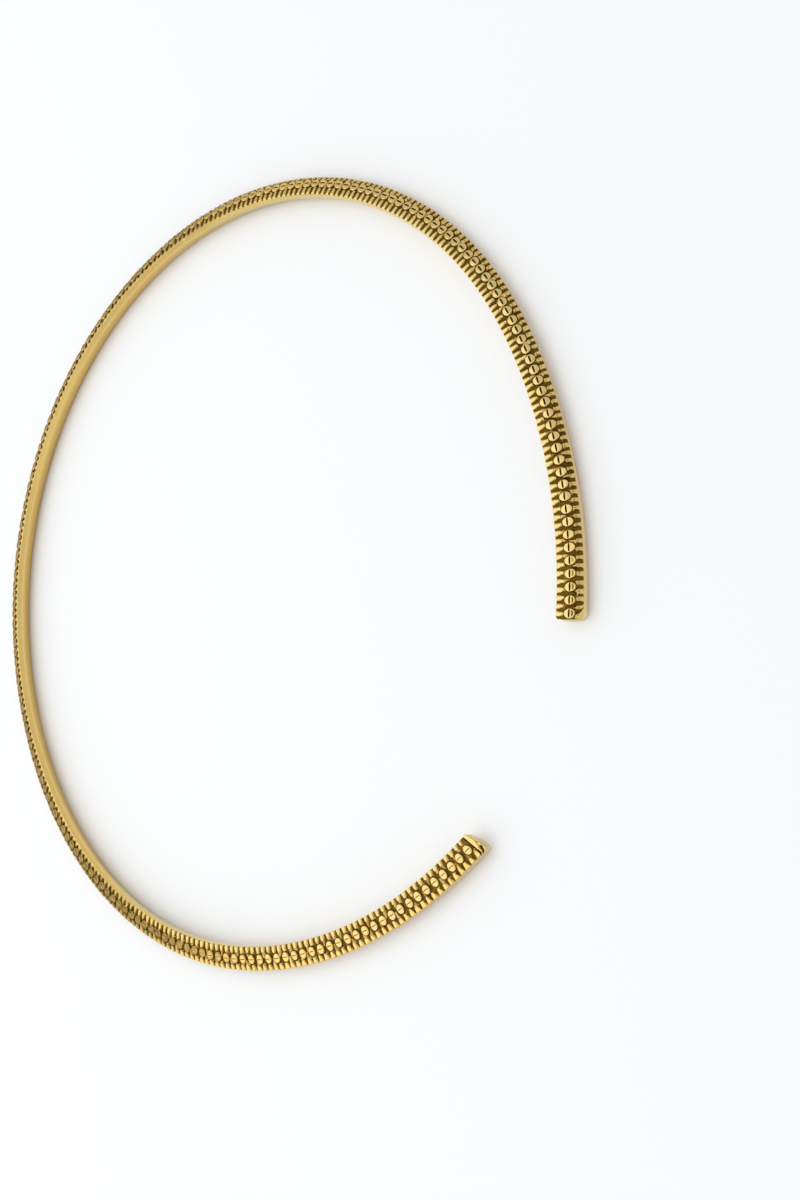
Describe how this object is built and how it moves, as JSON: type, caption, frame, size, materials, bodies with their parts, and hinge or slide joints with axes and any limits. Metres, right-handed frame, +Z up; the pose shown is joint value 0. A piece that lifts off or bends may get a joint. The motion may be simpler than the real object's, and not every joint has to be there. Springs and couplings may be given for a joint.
{
  "type": "torc",
  "caption": "Open rigid neck ring bent from one strip of gold-coloured metal, its face carved with a row of round bosses between two rows of ribs; worn round the neck, or lies flat.",
  "frame": {"origin": "under the middle of the ring's bounding box, on the surface that it lies on", "axes": "+Z up from that surface, -Y towards the opening of the ring, +X towards the arm that is cut square"},
  "size_m": [0.136, 0.141, 0.0034],
  "materials": {
    "gold": "polished gold-coloured metal, with dark olive-brown patina in the carved grooves"
  },
  "bodies": {
    "root": {"torc": "gold"}
  },
  "joints": []
}
